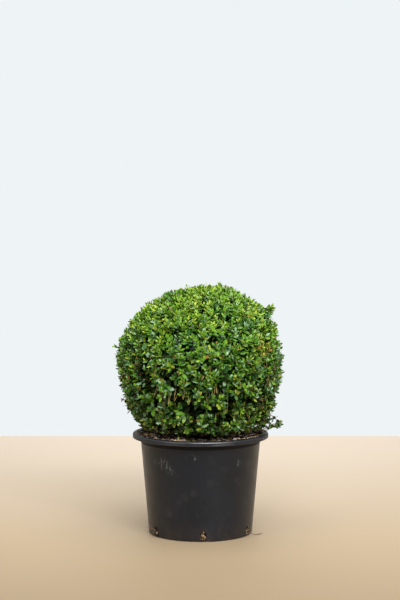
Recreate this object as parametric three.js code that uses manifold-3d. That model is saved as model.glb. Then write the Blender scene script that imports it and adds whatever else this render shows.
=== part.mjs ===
// A clipped box topiary ball growing in its plastic nursery pot.
// Units are millimetres and +Z is up. The origin is the centre of the pot's flat underside,
// -Y is the plant's front and +X is its right-hand side seen from the front.

import * as THREE from 'three';
import { mergeVertices } from 'three/addons/utils/BufferGeometryUtils.js';
import Module from 'manifold-3d';

const wasm = await Module();
wasm.setup();

// ---------------------------------------------------------------- driving dimensions

const FIT_GAP = 0.3; // air between two solids that touch

const POT_HEIGHT = 297;
const POT_BASE_RADIUS = 152;
const POT_FOOT_ROUND = 3;
const POT_WALL = 3;
const POT_FLOOR = 4;
const POT_BELT_HEIGHT = 264; // above this the wall flares out to the rim
const POT_BELT_RADIUS = 175;
const POT_NECK_RADIUS = 186.5; // outside of the wall where it meets the rim
const RIM_RADIUS = 200;
const RIM_THICKNESS = 3;
const RIM_LIP_DEPTH = 14;
const RIM_ROUND = 4;
const POT_SIDES = 60;

const DRAIN_HOLES = 6;
const DRAIN_WIDTH = 19;
const DRAIN_BOTTOM = 6;
const DRAIN_TOP = 31;
const DRAIN_TURN = 3; // degrees that the first hole is turned from the front towards +X
const DRAIN_ARC_STEPS = 4;
const DRAIN_CUT = 24; // how deep the cutter of a hole reaches through the wall

const COMPOST_TOP = 288;
const COMPOST_SEAT_RADIUS = 32; // the level patch that the trunk stands on
const COMPOST_HUMP = 2.5;
const COMPOST_WAVE = new THREE.Vector2(23, 29); // how far apart the humps lie along X and Y
const COMPOST_SETTLED = 0.8; // share of the radius beyond which the top is level again
const COMPOST_RINGS = 6;

const TRUNK_FOOT_RADIUS = 14.5;
const TRUNK_TOP_RADIUS = 12.8;
const TRUNK_FLARE = 6;
const TRUNK_FLARE_REACH = 0.16; // share of the trunk's height over which the flare dies out
const TRUNK_ROOT_RIDGES = 5;
const TRUNK_RIDGE_DEPTH = 0.16;
const TRUNK_TOP = 348;
const TRUNK_LEAN = new THREE.Vector2(5, -3);
const TRUNK_SIDES = 16;
const TRUNK_RINGS = 8;

const LEADERS = 3; // boughs that leave the trunk's top
const LEADER_TURN = 4; // degrees from +X to the first one
const LEADER_OFFSET = 7;
const LEADER_END_RADIUS = 46;
const LEADER_END_HEIGHT = 452;
const SIDE_BOUGHS = 4; // boughs that leave the trunk's side
const SIDE_BOUGH_LOWEST = 304;
const SIDE_BOUGH_STEP = 9;
const SIDE_BOUGH_RISE = 78;
const SIDE_BOUGH_END_RADIUS = 50;
const BOUGH_FOOT_RADIUS = 5.6;
const BOUGH_TIP_RADIUS = 3.6;
const BOUGH_SIDES = 10;
const BOUGH_RINGS = 7;
const GOLDEN_ANGLE = Math.PI * (3 - Math.sqrt(5));

const CROWN_CENTRE = 485; // height of the clipped ball's centre
const CROWN_RADIUS = 245;
const CROWN_RISE = 246;
const CROWN_TOP_FULLNESS = 2.15; // 2 is a true ball, more is squarer at the shoulders
const CROWN_FOOT_FULLNESS = 2.04;
const CROWN_FOOT = 304; // height of the foliage's underside
const CROWN_FOOT_RIPPLE = 5;
const CROWN_FOOT_WAVE = new THREE.Vector2(31, 37);
const CROWN_DETAIL = 14;

// Waves of unevenness in the clipped face: height, and waves along X, Y and Z.
const CROWN_RIPPLES = [
  { height: 1.8, x: 6.1, y: 3.7, z: 4.9, phase: 0.4 },
  { height: 1.6, x: -4.3, y: 8.8, z: 5.6, phase: 2.1 },
  { height: 1.4, x: 11.2, y: -6.4, z: 9.3, phase: 4.0 },
  { height: 1.2, x: 7.7, y: 12.5, z: -13.1, phase: 5.2 },
];

// Broad swells and hollows that the shears left: where they lie, in degrees, and how high.
// An azimuth of 0 is the front and 90 is +X.
const CROWN_SWELLS = [
  { azimuth: 95, elevation: 50, spread: 26, height: 6 },
  { azimuth: -90, elevation: 60, spread: 20, height: -8 },
  { azimuth: -75, elevation: 8, spread: 30, height: 3 },
  { azimuth: 88, elevation: -18, spread: 15, height: -8 },
  { azimuth: 85, elevation: -36, spread: 12, height: 9 },
  { azimuth: 165, elevation: 25, spread: 30, height: 4 },
  { azimuth: -150, elevation: -15, spread: 26, height: -4 },
  { azimuth: 20, elevation: 68, spread: 22, height: -3 },
];

// The bare heart of the plant, a narrow well in the foliage round the trunk and boughs.
const HEART_RADIUS = 36;
const HEART_SHOULDER = 424;
const HEART_TOP = 458;
const HEART_SIDES = 24;
const HEART_DOME_STEPS = 5;

// Loose growth that stands out of the clipped face. The lean is the long axis's elevation.
const TUFTS = [
  { name: 'tuft_shoulder', azimuth: 94, elevation: 39, distance: 254, girth: 12, reach: 28, lean: 72 },
  { name: 'tuft_foot', azimuth: 82, elevation: -36.3, distance: 265, girth: 14, reach: 28, lean: -6 },
];
const TUFT_DETAIL = 3;
const TUFT_RIPPLE = 0.14;

// ---------------------------------------------------------------- solids

function toSolid(geometry) {
  const bare = geometry.clone();
  bare.deleteAttribute('normal');
  bare.deleteAttribute('uv');
  const merged = mergeVertices(bare, 1e-3);
  return new wasm.Manifold(
    new wasm.Mesh({
      numProp: 3,
      vertProperties: new Float32Array(merged.attributes.position.array),
      triVerts: new Uint32Array(merged.index.array),
    }),
  );
}

function toGeometry(solid) {
  const mesh = solid.getMesh();
  const geometry = new THREE.BufferGeometry();
  geometry.setAttribute('position', new THREE.BufferAttribute(mesh.vertProperties, 3));
  geometry.setIndex(new THREE.BufferAttribute(mesh.triVerts, 1));
  geometry.computeVertexNormals();
  return geometry;
}

// Moves every corner of a geometry by a rule, and leaves its triangles as they are.
function reshape(geometry, rule) {
  const position = geometry.attributes.position;
  const point = new THREE.Vector3();
  for (let i = 0; i < position.count; i += 1) {
    point.fromBufferAttribute(position, i);
    rule(point);
    position.setXYZ(i, point.x, point.y, point.z);
  }
  return geometry;
}

// A solid turned about the Z axis. The profile's points are (radius, height).
function turned(profile, sides) {
  const geometry = new THREE.LatheGeometry(profile, sides);
  geometry.rotateX(Math.PI / 2);
  return geometry;
}

function arc(centreX, centreY, radius, from, to, steps) {
  const points = [];
  for (let i = 0; i <= steps; i += 1) {
    const angle = THREE.MathUtils.degToRad(from + ((to - from) * i) / steps);
    const x = centreX + radius * Math.cos(angle);
    const y = centreY + radius * Math.sin(angle);
    points.push(new THREE.Vector2(x, y));
  }
  return points;
}

// The unit vector at an azimuth from the front and an elevation, both in degrees.
function heading(azimuth, elevation) {
  const turn = THREE.MathUtils.degToRad(azimuth - 90);
  const lift = THREE.MathUtils.degToRad(elevation);
  return new THREE.Vector3(
    Math.cos(lift) * Math.cos(turn),
    Math.cos(lift) * Math.sin(turn),
    Math.sin(lift),
  );
}

// ---------------------------------------------------------------- pot

function wallRadius(height) {
  if (height < POT_BELT_HEIGHT) {
    return THREE.MathUtils.mapLinear(height, 0, POT_BELT_HEIGHT, POT_BASE_RADIUS, POT_BELT_RADIUS);
  }
  return THREE.MathUtils.mapLinear(
    height,
    POT_BELT_HEIGHT,
    POT_HEIGHT - RIM_THICKNESS,
    POT_BELT_RADIUS,
    POT_NECK_RADIUS,
  );
}

function boreRadius(height) {
  return wallRadius(height) - POT_WALL;
}

// The tapering wall with its floor, up to the seat of the rim.
function wallGeometry() {
  const seat = POT_HEIGHT - RIM_THICKNESS - FIT_GAP;
  const footCentre = POT_BASE_RADIUS - POT_FOOT_ROUND;
  const profile = [
    new THREE.Vector2(0, 0),
    ...arc(footCentre, POT_FOOT_ROUND, POT_FOOT_ROUND, -90, 0, 2),
    new THREE.Vector2(POT_BELT_RADIUS, POT_BELT_HEIGHT),
    new THREE.Vector2(wallRadius(seat), seat),
    new THREE.Vector2(boreRadius(seat), seat),
    new THREE.Vector2(boreRadius(POT_BELT_HEIGHT), POT_BELT_HEIGHT),
    new THREE.Vector2(boreRadius(POT_FLOOR), POT_FLOOR),
    new THREE.Vector2(0, POT_FLOOR),
  ];
  return turned(profile, POT_SIDES);
}

// The flat flange on top of the wall, with its rounded edge and the lip that turns down from it.
function rimGeometry() {
  const underside = POT_HEIGHT - RIM_THICKNESS;
  const lipBottom = POT_HEIGHT - RIM_LIP_DEPTH;
  const profile = [
    new THREE.Vector2(boreRadius(underside), underside),
    new THREE.Vector2(RIM_RADIUS - RIM_THICKNESS, underside),
    new THREE.Vector2(RIM_RADIUS - RIM_THICKNESS, lipBottom),
    new THREE.Vector2(RIM_RADIUS, lipBottom),
    ...arc(RIM_RADIUS - RIM_ROUND, POT_HEIGHT - RIM_ROUND, RIM_ROUND, 0, 90, 2),
    new THREE.Vector2(boreRadius(underside), POT_HEIGHT),
    new THREE.Vector2(boreRadius(underside), underside),
  ];
  return turned(profile, POT_SIDES);
}

// The cutter of one drainage hole, an upright slot with round ends that runs out through the wall.
function drainCutter(azimuth) {
  const radius = DRAIN_WIDTH / 2;
  const outline = new THREE.Shape([
    ...arc(0, DRAIN_TOP - radius, radius, 0, 180, DRAIN_ARC_STEPS),
    ...arc(0, DRAIN_BOTTOM + radius, radius, 180, 360, DRAIN_ARC_STEPS),
  ]);
  const geometry = new THREE.ExtrudeGeometry(outline, {
    depth: DRAIN_CUT,
    bevelEnabled: false,
    steps: 1,
  });
  geometry.rotateX(Math.PI / 2);
  geometry.translate(0, DRAIN_CUT / 2 - POT_BASE_RADIUS, 0);
  geometry.rotateZ(THREE.MathUtils.degToRad(azimuth));
  return geometry;
}

function potGeometry() {
  let solid = toSolid(wallGeometry());
  for (let i = 0; i < DRAIN_HOLES; i += 1) {
    solid = solid.subtract(toSolid(drainCutter(DRAIN_TURN + (360 * i) / DRAIN_HOLES)));
  }
  return toGeometry(solid);
}

// ---------------------------------------------------------------- compost

function compostHump(x, y) {
  const radius = Math.hypot(x, y);
  const edge = boreRadius(COMPOST_TOP) - FIT_GAP;
  const clear = THREE.MathUtils.smoothstep(radius, COMPOST_SEAT_RADIUS, COMPOST_SEAT_RADIUS * 2);
  const settle = 1 - THREE.MathUtils.smoothstep(radius, edge * COMPOST_SETTLED, edge);
  const wave = Math.sin(x / COMPOST_WAVE.x + 0.8) * Math.cos(y / COMPOST_WAVE.y - 0.5);
  return COMPOST_HUMP * clear * settle * wave;
}

function compostGeometry() {
  const bottom = POT_FLOOR + FIT_GAP;
  const edge = boreRadius(COMPOST_TOP) - FIT_GAP;
  const profile = [
    new THREE.Vector2(0, bottom),
    new THREE.Vector2(boreRadius(bottom) - FIT_GAP, bottom),
    new THREE.Vector2(boreRadius(POT_BELT_HEIGHT) - FIT_GAP, POT_BELT_HEIGHT),
  ];
  for (let i = COMPOST_RINGS; i > 0; i -= 1) {
    profile.push(new THREE.Vector2((edge * i) / COMPOST_RINGS, COMPOST_TOP));
  }
  profile.push(new THREE.Vector2(0, COMPOST_TOP));
  const geometry = turned(profile, POT_SIDES / 2);
  return reshape(geometry, (point) => {
    if (point.z > COMPOST_TOP - FIT_GAP) {
      point.z += compostHump(point.x, point.y);
    }
  });
}

// ---------------------------------------------------------------- limbs

// A tapering limb: a closed cylinder whose rings are carried along a curve.
// The radius is a rule of the share of the length and the angle round the limb.
function limb(curve, radiusAt, sides, rings, level) {
  const geometry = new THREE.CylinderGeometry(1, 1, 1, sides, rings);
  return reshape(geometry, (point) => {
    const share = THREE.MathUtils.clamp(point.y + 0.5, 0, 1);
    const tangent = level ? new THREE.Vector3(0, 0, 1) : curve.getTangentAt(share);
    const side = new THREE.Vector3(0, 1, 0).cross(tangent).normalize();
    const back = new THREE.Vector3().crossVectors(side, tangent);
    const radius = radiusAt(share, Math.atan2(point.z, point.x));
    const across = point.x * radius;
    const along = point.z * radius;
    point.copy(curve.getPointAt(share));
    point.addScaledVector(side, across);
    point.addScaledVector(back, along);
  });
}

function trunkAxis(height) {
  const share = (height - COMPOST_TOP) / (TRUNK_TOP - COMPOST_TOP);
  return new THREE.Vector3(TRUNK_LEAN.x * share, TRUNK_LEAN.y * share, height);
}

function trunkGeometry(swell) {
  const foot = trunkAxis(COMPOST_TOP + FIT_GAP - swell);
  const curve = new THREE.LineCurve3(foot, trunkAxis(TRUNK_TOP + swell));
  const radiusAt = (share, angle) => {
    const taper = THREE.MathUtils.lerp(TRUNK_FOOT_RADIUS, TRUNK_TOP_RADIUS, share);
    const flare = Math.exp(-share / TRUNK_FLARE_REACH);
    const ridges = 1 + TRUNK_RIDGE_DEPTH * flare * Math.cos(TRUNK_ROOT_RIDGES * angle);
    return (taper + TRUNK_FLARE * flare) * ridges + swell;
  };
  return limb(curve, radiusAt, TRUNK_SIDES, TRUNK_RINGS, true);
}

function boughRadius(share) {
  return THREE.MathUtils.lerp(BOUGH_FOOT_RADIUS, BOUGH_TIP_RADIUS, share);
}

function leaderCurve(index) {
  const turn = THREE.MathUtils.degToRad(LEADER_TURN + (360 * index) / LEADERS);
  const out = new THREE.Vector3(Math.cos(turn), Math.sin(turn), 0);
  const foot = trunkAxis(TRUNK_TOP + FIT_GAP).addScaledVector(out, LEADER_OFFSET);
  const end = out.clone().multiplyScalar(LEADER_END_RADIUS);
  end.z = LEADER_END_HEIGHT;
  const middle = foot.clone().lerp(end, 0.5).addScaledVector(out, -LEADER_OFFSET);
  return new THREE.CatmullRomCurve3([foot, middle, end]);
}

function sideCurve(index) {
  const turn = GOLDEN_ANGLE * (index + 1);
  const out = new THREE.Vector3(Math.cos(turn), Math.sin(turn), 0);
  const foot = trunkAxis(SIDE_BOUGH_LOWEST + SIDE_BOUGH_STEP * index);
  const end = out.clone().multiplyScalar(SIDE_BOUGH_END_RADIUS);
  end.z = foot.z + SIDE_BOUGH_RISE;
  const middle = foot.clone().lerp(end, 0.5).addScaledVector(out, BOUGH_FOOT_RADIUS);
  return new THREE.CatmullRomCurve3([foot, middle, end]);
}

// ---------------------------------------------------------------- foliage

// Distance from the ball's centre to its clipped face along a unit vector.
function crownReach(direction) {
  const across = Math.hypot(direction.x, direction.y) / CROWN_RADIUS;
  const up = Math.abs(direction.z) / CROWN_RISE;
  const power = direction.z > 0 ? CROWN_TOP_FULLNESS : CROWN_FOOT_FULLNESS;
  let reach = 1 / (across ** power + up ** power) ** (1 / power);
  for (const wave of CROWN_RIPPLES) {
    const along = wave.x * direction.x + wave.y * direction.y + wave.z * direction.z;
    reach += wave.height * Math.sin(along + wave.phase);
  }
  for (const swell of CROWN_SWELLS) {
    const turn = direction.angleTo(heading(swell.azimuth, swell.elevation));
    const share = turn / THREE.MathUtils.degToRad(swell.spread);
    reach += swell.height * Math.exp(-share * share);
  }
  return reach;
}

function crownFoot(x, y) {
  const wave = Math.sin(x / CROWN_FOOT_WAVE.x + 1.2) * Math.cos(y / CROWN_FOOT_WAVE.y + 0.4);
  return CROWN_FOOT + CROWN_FOOT_RIPPLE * wave;
}

// The clipped ball with its level underside, grown outwards by a margin.
function ballGeometry(margin) {
  const geometry = new THREE.IcosahedronGeometry(1, CROWN_DETAIL);
  return reshape(geometry, (point) => {
    point.normalize();
    point.multiplyScalar(crownReach(point) + margin);
    point.z += CROWN_CENTRE;
    point.z = Math.max(point.z, crownFoot(point.x, point.y) - margin);
  });
}

// The well of bare wood, drawn in from the foliage by a margin.
function heartGeometry(margin) {
  const radius = HEART_RADIUS - margin;
  const rise = HEART_TOP - HEART_SHOULDER - margin;
  const profile = [
    new THREE.Vector2(0, COMPOST_TOP),
    new THREE.Vector2(radius, COMPOST_TOP),
  ];
  for (let i = 0; i < HEART_DOME_STEPS; i += 1) {
    const angle = (Math.PI / 2) * (i / HEART_DOME_STEPS);
    const x = radius * Math.cos(angle);
    const y = HEART_SHOULDER + rise * Math.sin(angle);
    profile.push(new THREE.Vector2(x, y));
  }
  profile.push(new THREE.Vector2(0, HEART_SHOULDER + rise));
  return turned(profile, HEART_SIDES);
}

function tuftGeometry(tuft) {
  const geometry = new THREE.IcosahedronGeometry(1, TUFT_DETAIL);
  reshape(geometry, (point) => {
    const uneven = Math.sin(5 * point.x + 1) * Math.cos(4 * point.z - 3 * point.y);
    point.normalize();
    point.multiplyScalar(1 + TUFT_RIPPLE * uneven);
    point.set(point.x * tuft.girth, point.y * tuft.girth, point.z * tuft.reach);
  });
  const up = new THREE.Vector3(0, 0, 1);
  const longAxis = heading(tuft.azimuth, tuft.lean);
  geometry.applyQuaternion(new THREE.Quaternion().setFromUnitVectors(up, longAxis));
  const place = heading(tuft.azimuth, tuft.elevation).multiplyScalar(tuft.distance);
  geometry.translate(place.x, place.y, CROWN_CENTRE + place.z);
  return geometry;
}

// ---------------------------------------------------------------- the plant in its pot

const plastic = new THREE.MeshStandardMaterial({ color: 0x2f2f32, roughness: 0.5, metalness: 0 });
const compost = new THREE.MeshStandardMaterial({ color: 0x3a2a1f, roughness: 0.95, metalness: 0 });
const bark = new THREE.MeshStandardMaterial({ color: 0x85694a, roughness: 0.85, metalness: 0 });
const foliage = new THREE.MeshStandardMaterial({ color: 0x44702a, roughness: 0.6, metalness: 0 });

const plant = new THREE.Group();

function addPart(name, geometry, material) {
  const mesh = new THREE.Mesh(geometry, material);
  mesh.name = name;
  plant.add(mesh);
}

function addBough(name, curve, keepOut, keepIn) {
  const whole = toSolid(limb(curve, boughRadius, BOUGH_SIDES, BOUGH_RINGS, false));
  addPart(name, toGeometry(whole.subtract(keepOut).intersect(keepIn)), bark);
}

addPart('pot', potGeometry(), plastic);
addPart('pot_rim', rimGeometry(), plastic);
addPart('compost', compostGeometry(), compost);
addPart('trunk', trunkGeometry(0), bark);

const trunkWithGap = toSolid(trunkGeometry(FIT_GAP));
const heartWithGap = toSolid(heartGeometry(FIT_GAP));
for (let i = 0; i < LEADERS; i += 1) {
  addBough(`bough_top_${i + 1}`, leaderCurve(i), trunkWithGap, heartWithGap);
}
for (let i = 0; i < SIDE_BOUGHS; i += 1) {
  addBough(`bough_side_${i + 1}`, sideCurve(i), trunkWithGap, heartWithGap);
}

addPart('crown', toGeometry(toSolid(ballGeometry(0)).subtract(toSolid(heartGeometry(0)))), foliage);
const ballWithGap = toSolid(ballGeometry(FIT_GAP));
for (const tuft of TUFTS) {
  addPart(tuft.name, toGeometry(toSolid(tuftGeometry(tuft)).subtract(ballWithGap)), foliage);
}

export default plant;
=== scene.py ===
import math

import bpy
import numpy as np
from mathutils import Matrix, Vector
from mathutils.bvhtree import BVHTree


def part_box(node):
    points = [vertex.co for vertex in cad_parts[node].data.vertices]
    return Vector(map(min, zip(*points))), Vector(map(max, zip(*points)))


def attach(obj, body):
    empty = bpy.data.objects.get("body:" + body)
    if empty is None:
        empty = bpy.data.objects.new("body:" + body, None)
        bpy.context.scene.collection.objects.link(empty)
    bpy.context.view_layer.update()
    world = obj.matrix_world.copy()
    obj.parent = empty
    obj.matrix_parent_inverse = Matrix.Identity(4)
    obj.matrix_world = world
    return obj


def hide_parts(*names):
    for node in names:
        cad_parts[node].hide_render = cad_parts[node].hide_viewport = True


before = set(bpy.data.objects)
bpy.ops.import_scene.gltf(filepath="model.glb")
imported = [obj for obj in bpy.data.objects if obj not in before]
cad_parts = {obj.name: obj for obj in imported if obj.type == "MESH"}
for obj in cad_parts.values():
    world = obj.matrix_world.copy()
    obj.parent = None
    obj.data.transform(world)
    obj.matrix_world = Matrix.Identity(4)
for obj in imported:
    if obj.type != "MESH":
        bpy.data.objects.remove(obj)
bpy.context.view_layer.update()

# Everything is in metres, in the frame's own axes: +Z up, -Y the front, +X the right-hand side.
MM = 0.001
SEED = 11
UP = np.array([0.0, 0.0, 1.0])
BODY = "root"


# ---- small tools

def unit(vectors):
    """The same vectors at length one."""
    size = np.linalg.norm(vectors, axis=-1, keepdims=True)
    return vectors / np.maximum(size, 1e-12)


def polar(radius, turn, height):
    """Points at a distance from the Z axis, a turn about it from +X and a height."""
    return np.stack(np.broadcast_arrays(radius * np.cos(turn), radius * np.sin(turn), height), -1)


def srgb(red, green, blue):
    """A colour given as it looks on a screen, 0 to 255, as the linear colour that a shader takes."""
    values = np.array([red, green, blue]) / 255
    linear = np.where(values <= 0.04045, values / 12.92, ((values + 0.055) / 1.055) ** 2.4)
    return (*linear.tolist(), 1.0)


def add_object(name, data):
    """Puts a mesh, a light or a camera into the scene."""
    thing = bpy.data.objects.new(name, data)
    bpy.context.scene.collection.objects.link(thing)
    return thing


def add_mesh(name, points, faces, materials, face_materials=None, smooth=True):
    """A mesh object from arrays of points and of faces that all have the same number of corners."""
    points, faces = np.asarray(points, float), np.asarray(faces, int)
    count, corners = faces.shape
    mesh = bpy.data.meshes.new(name)
    mesh.vertices.add(len(points))
    mesh.vertices.foreach_set("co", points.ravel())
    mesh.loops.add(count * corners)
    mesh.loops.foreach_set("vertex_index", faces.ravel())
    mesh.polygons.add(count)
    mesh.polygons.foreach_set("loop_start", np.arange(0, count * corners, corners))
    for material in materials:
        mesh.materials.append(material)
    if face_materials is not None:
        mesh.polygons.foreach_set("material_index", np.asarray(face_materials, np.int32))
    mesh.update(calc_edges=True)
    if smooth:
        mesh.shade_smooth()
    else:
        mesh.shade_flat()
    return add_object(name, mesh)


def place(thing, slot, *nodes):
    """Puts a piece on the plant's one body, and in place of CAD nodes. The slot is not used."""
    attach(thing, BODY)
    if nodes:
        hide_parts(*nodes)


class Heap:
    """Collects many small meshes that become one piece."""

    def __init__(self):
        self.points, self.faces, self.kinds, self.size = [], [], [], 0

    def add(self, points, faces, kind=0):
        self.points.append(points)
        self.faces.append(faces + self.size)
        self.kinds.append(np.full(len(faces), kind) if np.isscalar(kind) else kind)
        self.size += len(points)

    def piece(self, name, materials, slot, *nodes, smooth=True):
        """Makes the piece, with each small mesh in the material of its kind."""
        points, faces, kinds = np.vstack(self.points), np.vstack(self.faces), np.concatenate(self.kinds)
        place(add_mesh(name, points, faces, materials, kinds, smooth), slot, *nodes)


def ripple(points, length, seed, octaves=3):
    """Smooth random relief between about -1 and 1, from waves in random directions."""
    rng = np.random.default_rng(seed)
    total = np.zeros(len(points))
    for octave in range(octaves):
        for _ in range(5):
            wave = unit(rng.normal(size=3)) * 2 * math.pi / length * 2**octave * rng.uniform(0.7, 1.3)
            total += np.sin(points @ wave + rng.uniform(0, 2 * math.pi)) / 2**octave
    return total / 3.2


def hermite(start, start_way, end, end_way, shares):
    """Points on the smooth curve that leaves start along one vector and reaches end along another."""
    t = np.asarray(shares)[:, None]
    return (
        (2 * t**3 - 3 * t**2 + 1) * start
        + (t**3 - 2 * t**2 + t) * start_way
        + (3 * t**2 - 2 * t**3) * end
        + (t**3 - t**2) * end_way
    )


def path_lengths(path):
    """How far along a path each of its points lies."""
    return np.concatenate([[0], np.cumsum(np.linalg.norm(np.diff(path, axis=0), axis=1))])


def along_path(path, length, at):
    """The places at one or more distances along a path."""
    return np.stack([np.interp(at, length, path[:, axis]) for axis in range(3)], -1)


def between_rings(rings, sides):
    """Triangles between each ring of points and the next."""
    here = np.arange(sides) + np.arange(rings - 1)[:, None] * sides
    there = np.roll(here, -1, axis=1)
    lower = np.stack([here, there, there + sides], -1).reshape(-1, 3)
    upper = np.stack([here, there + sides, here + sides], -1).reshape(-1, 3)
    return np.vstack([lower, upper])


def fan(first, sides, centre):
    """Triangles between a ring of points and one point."""
    here = np.arange(sides) + first
    return np.stack([here, np.roll(here, -1), np.full(sides, centre)], -1)


def tube(path, radii, sides):
    """A round limb along a path, open where it grows from its parent and closed to a point at its end."""
    tangents = unit(np.gradient(path, axis=0))
    level = np.array([1.0, 0.0, 0.0]) if abs(tangents[0][2]) > 0.8 else UP
    across = unit(np.cross(level, tangents))
    back = np.cross(tangents, across)
    turns = np.arange(sides) / sides * 2 * math.pi
    ring = across[:, None] * np.cos(turns)[None, :, None] + back[:, None] * np.sin(turns)[None, :, None]
    points = (path[:, None] + ring * np.asarray(radii)[:, None, None]).reshape(-1, 3)
    tip = path[-1] + tangents[-1] * radii[-1]
    cap = fan(len(points) - sides, sides, len(points))
    return np.vstack([points, tip]), np.vstack([between_rings(len(path), sides), cap])


# ---- materials

def add_node(tree, kind, inputs, output=0, **settings):
    """One output of a new node. Each input is a plain value or the output of another node."""
    node = tree.nodes.new("ShaderNode" + kind)
    for name, value in settings.items():
        setattr(node, name, value)
    for socket, value in inputs.items():
        if isinstance(value, bpy.types.NodeSocket):
            tree.links.new(value, node.inputs[socket])
        else:
            node.inputs[socket].default_value = value
    return node.outputs[output]


def principled(name, roughness, specular):
    """A new material and its shader."""
    material = bpy.data.materials.new(name)
    material.use_nodes = True
    shader = material.node_tree.nodes["Principled BSDF"]
    shader.inputs["Roughness"].default_value = roughness
    shader.inputs["Specular IOR Level"].default_value = specular
    return material, shader


def plain(name, colour, roughness, specular=0.5):
    """A finish of one colour, for leaves, twigs and chips."""
    material, shader = principled(name, roughness, specular)
    shader.inputs["Base Color"].default_value = srgb(*colour)
    return material


class Finish:
    """A node material that is built up one step at a time on object coordinates."""

    def __init__(self, name, roughness=0.6, specular=0.5):
        self.material, self.shader = principled(name, roughness, specular)
        self.place = self.node("TexCoord", {}, "Object")

    def node(self, kind, inputs, output=0, **settings):
        return add_node(self.material.node_tree, kind, inputs, output, **settings)

    def feed(self, socket, value):
        """Links a value to one of the shader's own inputs."""
        self.material.node_tree.links.new(value, self.shader.inputs[socket])

    def stretched(self, x, y, z):
        return self.node("Mapping", {"Vector": self.place, "Scale": (x, y, z)})

    def noise(self, scale, detail=4.0, where=None):
        inputs = {"Vector": where or self.place, "Scale": scale, "Detail": detail, "Roughness": 0.55}
        return self.node("TexNoise", inputs)

    def ramp(self, value, *stops):
        """The value as the colour or the grey that runs from stop to stop."""
        colour = self.node("ValToRGB", {"Fac": value})
        elements = colour.node.color_ramp.elements
        while len(elements) < len(stops):
            elements.new(0.5)
        for element, (position, tone) in zip(elements, stops):
            element.position = position
            element.color = tone if isinstance(tone, tuple) else (tone, tone, tone, 1.0)
        return colour

    def cloud(self, scale, detail, *stops, where=None):
        """Noise as a colour or a grey."""
        return self.ramp(self.noise(scale, detail, where), *stops)

    def mix(self, share, first, second, blend="MIX"):
        return self.node("Mix", {0: share, 6: first, 7: second}, 2, data_type="RGBA", blend_type=blend)

    def both(self, first, second):
        return self.mix(1.0, first, second, "MULTIPLY")

    def distance(self, spot):
        """Distance from a place, in metres."""
        return self.node("VectorMath", {0: self.place, 1: spot}, "Value", operation="DISTANCE")

    def coordinate(self, axis):
        return self.node("SeparateXYZ", {"Vector": self.place}, axis)

    def spread(self, value, low, high):
        """A value's stretch from low to high as 0 to 1."""
        return self.node("MapRange", {"Value": value, "From Min": low, "From Max": high})

    def bump(self, value, depth, strength=0.6):
        """Relief of a depth in metres, on top of the relief that is there already."""
        inputs = {"Strength": strength, "Distance": depth, "Height": value}
        for link in self.shader.inputs["Normal"].links:
            inputs["Normal"] = link.from_socket
        self.feed("Normal", self.node("Bump", inputs))


def pot_plastic(scuff_places):
    """Black moulded plastic that has been handled: faint dust, a few pale scuffs, soil near the foot."""
    finish = Finish("pot_plastic", specular=0.45)
    base = finish.cloud(9, 5, (0.35, srgb(8, 16, 26)), (0.7, srgb(15, 23, 35)))
    dust = finish.cloud(26, 6, (0.55, 0.0), (0.75, 0.08))
    base = finish.mix(dust, base, srgb(110, 106, 100))
    cells = finish.node("TexVoronoi", {"Vector": finish.place, "Scale": 210})
    specks = finish.ramp(cells, (0.05, 0.5), (0.12, 0.0))
    patches = finish.cloud(14, 3, (0.5, 0.0), (0.62, 1.0))
    base = finish.mix(finish.both(specks, patches), base, srgb(150, 144, 136))
    rubbed = finish.cloud(190, 5, (0.5, 0.0), (0.66, 1.0), where=finish.stretched(1, 1, 0.4))
    for spot, size in scuff_places:
        near = finish.ramp(finish.spread(finish.distance(spot), size, 0.0), (0.0, 0.0), (0.7, 0.5))
        base = finish.mix(finish.both(rubbed, near), base, srgb(126, 128, 124))
    foot = finish.ramp(finish.spread(finish.coordinate("Z"), 0.0, 0.06), (0.0, 0.45), (1.0, 0.0))
    soil = finish.both(foot, finish.cloud(30, 5, (0.4, 0.2), (0.65, 1.0)))
    finish.feed("Base Color", finish.mix(soil, base, srgb(70, 58, 46)))
    finish.feed("Roughness", finish.cloud(24, 6, (0.3, 0.32), (0.7, 0.42)))
    finish.bump(finish.noise(900, 2), 0.0002, 0.3)
    finish.bump(finish.noise(16, 3, finish.stretched(1, 1, 2.5)), 0.001, 0.25)
    return finish.material


def rim_plastic():
    """The same plastic on the rim, rubbed smooth by hands."""
    finish = Finish("pot_rim_plastic", specular=0.9)
    finish.feed("Base Color", finish.cloud(12, 5, (0.35, srgb(14, 18, 27)), (0.7, srgb(24, 28, 38))))
    finish.feed("Roughness", finish.cloud(30, 5, (0.3, 0.24), (0.7, 0.36)))
    finish.bump(finish.noise(700, 2), 0.0002, 0.2)
    return finish.material


def under_rim_painted_shade():
    """The same plastic under the rim, with painted shade: darker and less glossy up to the lip, where the
    rim shades the wall.
    """
    finish = Finish("pot_under_rim_painted_shade", roughness=0.6, specular=0.2)
    painted_shade = finish.cloud(40, 5, (0.4, srgb(5, 5, 5)), (0.75, srgb(14, 13, 12)))
    # painted shade: from the wall's own colour to near black just under the lip
    rise = finish.ramp(finish.spread(finish.coordinate("Z"), 0.268, 0.282), (0.0, 0.0), (1.0, 1.0))
    finish.feed("Base Color", finish.mix(rise, srgb(13, 19, 30), painted_shade))
    finish.bump(finish.noise(300, 3), 0.0004, 0.4)
    return finish.material


def compost_soil():
    """Damp dark compost with paler fibres and crumbs."""
    finish = Finish("compost_soil", roughness=0.9, specular=0.3)
    crumbs = finish.noise(170, 7)
    tone = finish.ramp(crumbs, (0.3, srgb(24, 17, 13)), (0.55, srgb(52, 38, 28)), (0.8, srgb(92, 70, 52)))
    fibres = finish.cloud(60, 6, (0.62, 0.0), (0.72, 0.6), where=finish.stretched(1, 5, 3))
    finish.feed("Base Color", finish.mix(fibres, tone, srgb(126, 98, 70)))
    finish.bump(crumbs, 0.004, 0.9)
    return finish.material


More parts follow.
